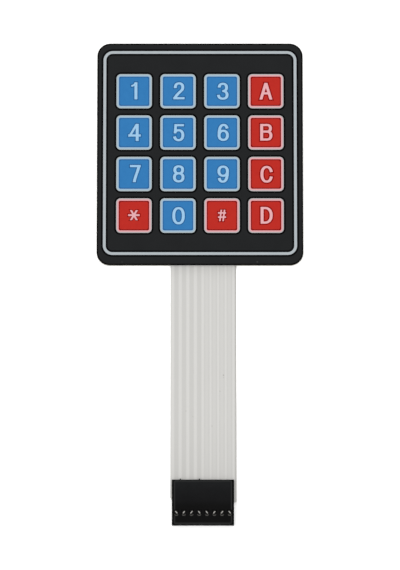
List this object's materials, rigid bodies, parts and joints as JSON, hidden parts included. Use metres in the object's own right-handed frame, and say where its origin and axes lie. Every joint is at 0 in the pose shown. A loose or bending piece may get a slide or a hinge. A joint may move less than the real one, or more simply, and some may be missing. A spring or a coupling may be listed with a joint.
{
  "type": "membrane keypad",
  "caption": "Flat matrix membrane keypad: a printed film pad of square keys on a self-adhesive back, with a flat two-ply tail crimped into a black socket connector for header pins.",
  "frame": {"origin": "centre of the pad's self-adhesive back face", "axes": "+X to the right of the keys, +Y towards the pad's top edge, +Z out of the printed face; the tail leaves along -Y"},
  "size_m": [0.0696, 0.1662, 0.0026],
  "materials": {
    "black_face_film": "fine matt printed film",
    "silver_print": "matt silver-grey print",
    "blue_print": "matt blue print",
    "red_print": "matt red print",
    "adhesive": "acrylic transfer adhesive",
    "circuit_film": "satin white polyester film",
    "spacer_sheet": "white film with adhesive faces",
    "liner_paper": "siliconised release paper",
    "black_housing": "moulded black polyester, fine matt",
    "silver_ink": "printed silver ink",
    "tinned_contact": "tin plated spring metal"
  },
  "bodies": {
    "root": {"graphic_overlay": "black_face_film", "border_line_print": "silver_print", "key_frame_print": "silver_print", "blue_key_print": "blue_print", "red_key_print": "red_print", "overlay_adhesive": "adhesive", "upper_circuit_film": "circuit_film", "spacer": "spacer_sheet", "lower_circuit_film": "circuit_film", "rear_adhesive": "adhesive", "release_liner": "liner_paper", "connector_housing": "black_housing", "row_track_1": "silver_ink", "row_track_2": "silver_ink", "row_track_3": "silver_ink", "row_track_4": "silver_ink", "column_track_1": "silver_ink", "column_track_2": "silver_ink", "column_track_3": "silver_ink", "column_track_4": "silver_ink", "contact_1": "tinned_contact", "contact_2": "tinned_contact", "contact_3": "tinned_contact", "contact_4": "tinned_contact", "contact_5": "tinned_contact", "contact_6": "tinned_contact", "contact_7": "tinned_contact", "contact_8": "tinned_contact"}
  },
  "joints": []
}
